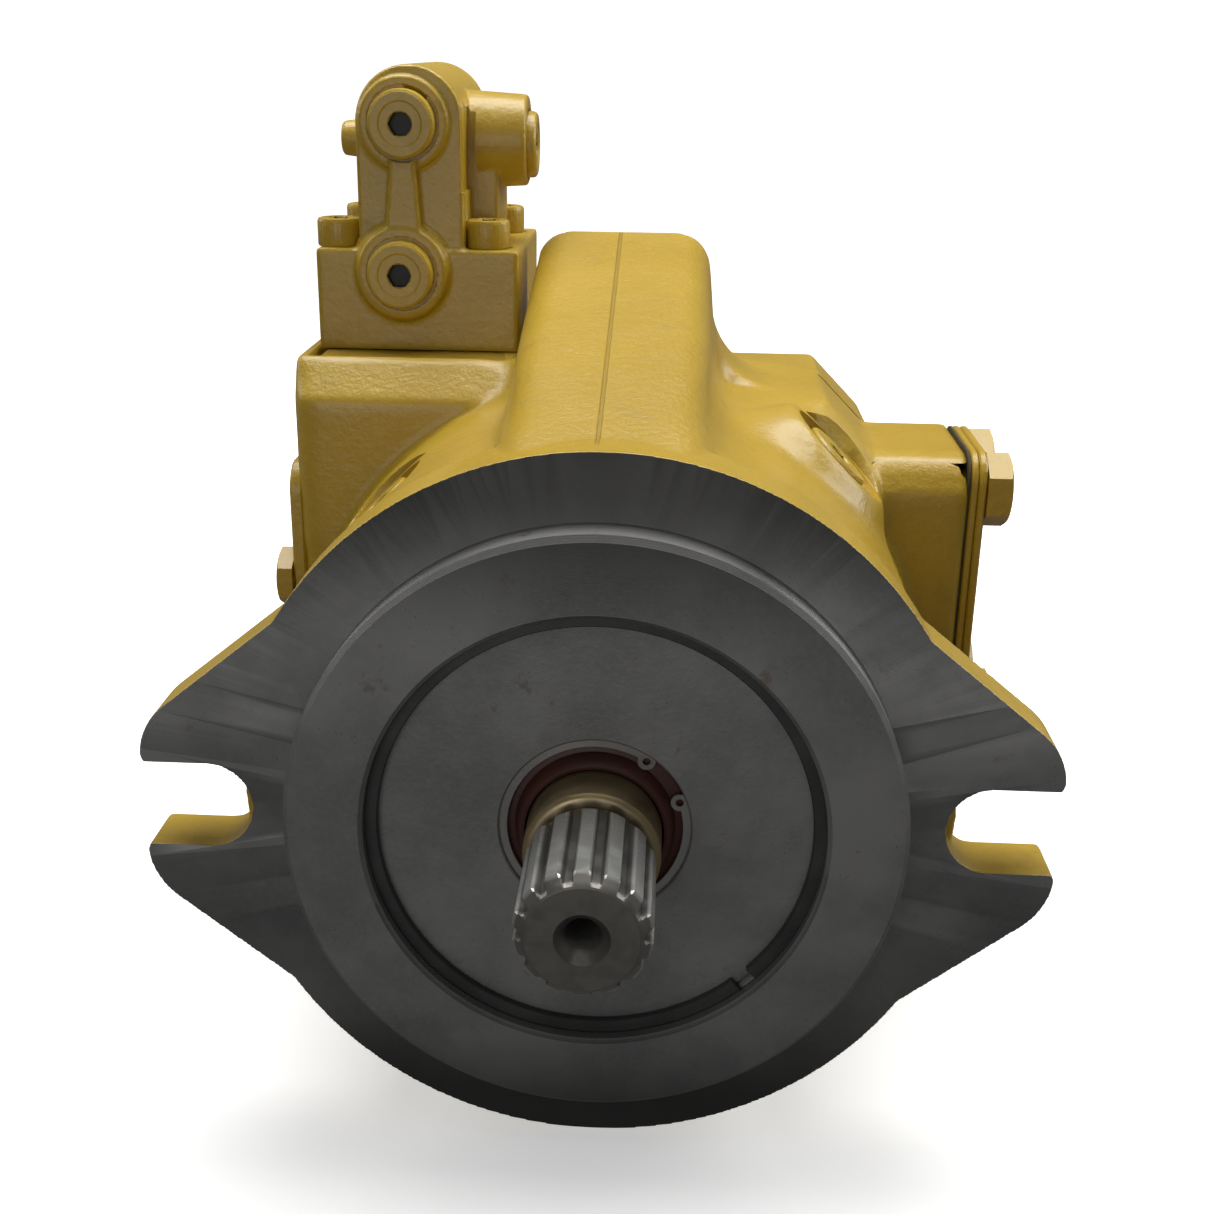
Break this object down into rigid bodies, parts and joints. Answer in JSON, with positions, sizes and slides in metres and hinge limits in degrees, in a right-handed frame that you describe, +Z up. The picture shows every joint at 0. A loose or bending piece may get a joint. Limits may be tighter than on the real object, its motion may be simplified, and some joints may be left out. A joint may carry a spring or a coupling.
{
  "type": "axial piston pump",
  "caption": "Variable axial piston pump: splined shaft, pistons in a turning block, a tilting swashplate, a two-slot flange, covered side ports and a control valve on top.",
  "frame": {"origin": "centre of the round mounting pilot, in the plane of the mounting flange's face", "axes": "+Z up towards the control valve, the shaft lies along Y with its splined end towards -Y, +X to the pressure port"},
  "size_m": [0.2285, 0.2603, 0.2659],
  "materials": {
    "ochre_paint": "glossy ochre-yellow paint over a sand-cast skin",
    "machined_iron": "bare machined grey iron, oiled and slightly rusty",
    "bright_steel": "ground steel",
    "dark_steel": "blackened steel",
    "bronze": "machined bronze",
    "brown_rubber": "red-brown seal rubber",
    "gasket_fibre": "compressed fibre sheet"
  },
  "bodies": {
    "case": {"pump_housing": "ochre_paint", "end_cover": "ochre_paint", "control_valve_body": "ochre_paint", "pressure_adapter": "ochre_paint", "pressure_cover": "ochre_paint", "suction_cover": "ochre_paint", "upper_plug": "ochre_paint", "lower_plug": "ochre_paint", "side_plug": "ochre_paint", "valve_screw_1": "ochre_paint", "valve_screw_2": "ochre_paint", "valve_screw_3": "ochre_paint", "valve_screw_4": "ochre_paint", "pressure_bolt_1": "ochre_paint", "pressure_bolt_2": "ochre_paint", "pressure_bolt_3": "ochre_paint", "pressure_bolt_4": "ochre_paint", "suction_bolt_1": "ochre_paint", "suction_bolt_2": "ochre_paint", "suction_bolt_3": "ochre_paint", "suction_bolt_4": "ochre_paint", "seal_carrier": "machined_iron", "carrier_snap_ring": "dark_steel", "bias_spring": "dark_steel", "seal_circlip": "bright_steel", "front_bearing_cup": "bright_steel", "rear_bearing": "bright_steel", "valve_plate": "bronze", "cradle_bearing_left": "bronze", "cradle_bearing_right": "bronze", "shaft_seal": "brown_rubber", "pressure_gasket": "gasket_fibre"},
    "rotor": {"drive_shaft": "bright_steel", "front_bearing_cone": "bright_steel", "cylinder_block": "machined_iron", "retainer_ball": "bright_steel", "block_spring": "dark_steel"},
    "swash": {"swashplate": "machined_iron"},
    "ring": {"retainer_plate": "dark_steel"},
    "shoe_1": {"slipper_1": "bronze"},
    "plunger_1": {"piston_1": "bright_steel"},
    "shoe_2": {"slipper_2": "bronze"},
    "plunger_2": {"piston_2": "bright_steel"},
    "shoe_3": {"slipper_3": "bronze"},
    "plunger_3": {"piston_3": "bright_steel"},
    "shoe_4": {"slipper_4": "bronze"},
    "plunger_4": {"piston_4": "bright_steel"},
    "shoe_5": {"slipper_5": "bronze"},
    "plunger_5": {"piston_5": "bright_steel"},
    "shoe_6": {"slipper_6": "bronze"},
    "plunger_6": {"piston_6": "bright_steel"},
    "shoe_7": {"slipper_7": "bronze"},
    "plunger_7": {"piston_7": "bright_steel"},
    "shoe_8": {"slipper_8": "bronze"},
    "plunger_8": {"piston_8": "bright_steel"},
    "shoe_9": {"slipper_9": "bronze"},
    "plunger_9": {"piston_9": "bright_steel"},
    "stroker": {"stroking_piston": "bright_steel"},
    "seat": {"bias_spring_seat": "bright_steel"},
    "spool": {"valve_spool": "bright_steel"}
  },
  "joints": [
    {"name": "shaft_spin", "type": "hinge", "parent": "case", "child": "rotor", "pos_m": [0, 0, 0], "axis": [0, 1, 0], "continuous": true},
    {"name": "swash_tilt", "type": "hinge", "parent": "case", "child": "swash", "pos_m": [0, 0.074, 0], "axis": [1, 0, 0], "range_deg": [0, 17], "stiffness_Nm_per_rad": 20, "springref_deg": -22.92},
    {"name": "ring_spin", "type": "hinge", "parent": "swash", "child": "ring", "pos_m": [0, 0.074, 0], "axis": [0, 0.9563, -0.2924], "continuous": true},
    {"name": "shoe_turn_1", "type": "hinge", "parent": "ring", "child": "shoe_1", "pos_m": [0, 0.08536, 0.03715], "axis": [0, 0.9563, -0.2924], "continuous": true},
    {"name": "ball_swing_1", "type": "hinge", "parent": "shoe_1", "child": "plunger_1", "pos_m": [0, 0.08536, 0.03715], "axis": [1, 0, 0], "range_deg": [-17, 0]},
    {"name": "shoe_turn_2", "type": "hinge", "parent": "ring", "child": "shoe_2", "pos_m": [-0.02497, 0.0827, 0.02846], "axis": [0, 0.9563, -0.2924], "continuous": true},
    {"name": "ball_swing_2", "type": "hinge", "parent": "shoe_2", "child": "plunger_2", "pos_m": [-0.02497, 0.0827, 0.02846], "axis": [1, 0, 0], "range_deg": [-17, 0]},
    {"name": "shoe_turn_3", "type": "hinge", "parent": "ring", "child": "shoe_3", "pos_m": [-0.03826, 0.07597, 0.00645], "axis": [0, 0.9563, -0.2924], "continuous": true},
    {"name": "ball_swing_3", "type": "hinge", "parent": "shoe_3", "child": "plunger_3", "pos_m": [-0.03826, 0.07597, 0.00645], "axis": [1, 0, 0], "range_deg": [-17, 0]},
    {"name": "shoe_turn_4", "type": "hinge", "parent": "ring", "child": "shoe_4", "pos_m": [-0.03364, 0.06832, -0.01858], "axis": [0, 0.9563, -0.2924], "continuous": true},
    {"name": "ball_swing_4", "type": "hinge", "parent": "shoe_4", "child": "plunger_4", "pos_m": [-0.03364, 0.06832, -0.01858], "axis": [1, 0, 0], "range_deg": [-17, 0]},
    {"name": "shoe_turn_5", "type": "hinge", "parent": "ring", "child": "shoe_5", "pos_m": [-0.01329, 0.06333, -0.03491], "axis": [0, 0.9563, -0.2924], "continuous": true},
    {"name": "ball_swing_5", "type": "hinge", "parent": "shoe_5", "child": "plunger_5", "pos_m": [-0.01329, 0.06333, -0.03491], "axis": [1, 0, 0], "range_deg": [-17, 0]},
    {"name": "shoe_turn_6", "type": "hinge", "parent": "ring", "child": "shoe_6", "pos_m": [0.01329, 0.06333, -0.03491], "axis": [0, 0.9563, -0.2924], "continuous": true},
    {"name": "ball_swing_6", "type": "hinge", "parent": "shoe_6", "child": "plunger_6", "pos_m": [0.01329, 0.06333, -0.03491], "axis": [1, 0, 0], "range_deg": [-17, 0]},
    {"name": "shoe_turn_7", "type": "hinge", "parent": "ring", "child": "shoe_7", "pos_m": [0.03364, 0.06832, -0.01858], "axis": [0, 0.9563, -0.2924], "continuous": true},
    {"name": "ball_swing_7", "type": "hinge", "parent": "shoe_7", "child": "plunger_7", "pos_m": [0.03364, 0.06832, -0.01858], "axis": [1, 0, 0], "range_deg": [-17, 0]},
    {"name": "shoe_turn_8", "type": "hinge", "parent": "ring", "child": "shoe_8", "pos_m": [0.03826, 0.07597, 0.00645], "axis": [0, 0.9563, -0.2924], "continuous": true},
    {"name": "ball_swing_8", "type": "hinge", "parent": "shoe_8", "child": "plunger_8", "pos_m": [0.03826, 0.07597, 0.00645], "axis": [1, 0, 0], "range_deg": [-17, 0]},
    {"name": "shoe_turn_9", "type": "hinge", "parent": "ring", "child": "shoe_9", "pos_m": [0.02497, 0.0827, 0.02846], "axis": [0, 0.9563, -0.2924], "continuous": true},
    {"name": "ball_swing_9", "type": "hinge", "parent": "shoe_9", "child": "plunger_9", "pos_m": [0.02497, 0.0827, 0.02846], "axis": [1, 0, 0], "range_deg": [-17, 0]},
    {"name": "stroker_slide", "type": "slide", "parent": "case", "child": "stroker", "axis": [0, -1, 0], "range_m": [0, 0.0258]},
    {"name": "seat_slide", "type": "slide", "parent": "case", "child": "seat", "axis": [0, -1, 0], "range_m": [0, 0.0223], "deforming": ["bias_spring"]},
    {"name": "spool_slide", "type": "slide", "parent": "case", "child": "spool", "axis": [0, 1, 0], "range_m": [-0.0025, 0.0025], "stiffness_N_per_m": 2000}
  ],
  "couplings": [
    {"joint": "ring_spin", "follows": "shaft_spin", "ratio": 1},
    {"joint": "shoe_turn_1", "follows": "shaft_spin", "ratio": -1},
    {"joint": "ball_swing_1", "follows": "swash_tilt", "ratio": -1},
    {"joint": "shoe_turn_2", "follows": "shaft_spin", "ratio": -1},
    {"joint": "ball_swing_2", "follows": "swash_tilt", "ratio": -1},
    {"joint": "shoe_turn_3", "follows": "shaft_spin", "ratio": -1},
    {"joint": "ball_swing_3", "follows": "swash_tilt", "ratio": -1},
    {"joint": "shoe_turn_4", "follows": "shaft_spin", "ratio": -1},
    {"joint": "ball_swing_4", "follows": "swash_tilt", "ratio": -1},
    {"joint": "shoe_turn_5", "follows": "shaft_spin", "ratio": -1},
    {"joint": "ball_swing_5", "follows": "swash_tilt", "ratio": -1},
    {"joint": "shoe_turn_6", "follows": "shaft_spin", "ratio": -1},
    {"joint": "ball_swing_6", "follows": "swash_tilt", "ratio": -1},
    {"joint": "shoe_turn_7", "follows": "shaft_spin", "ratio": -1},
    {"joint": "ball_swing_7", "follows": "swash_tilt", "ratio": -1},
    {"joint": "shoe_turn_8", "follows": "shaft_spin", "ratio": -1},
    {"joint": "ball_swing_8", "follows": "swash_tilt", "ratio": -1},
    {"joint": "shoe_turn_9", "follows": "shaft_spin", "ratio": -1},
    {"joint": "ball_swing_9", "follows": "swash_tilt", "ratio": -1},
    {"joint": "stroker_slide", "follows": "swash_tilt", "m_per_rad": 0.0867},
    {"joint": "seat_slide", "follows": "swash_tilt", "m_per_rad": 0.0748}
  ]
}
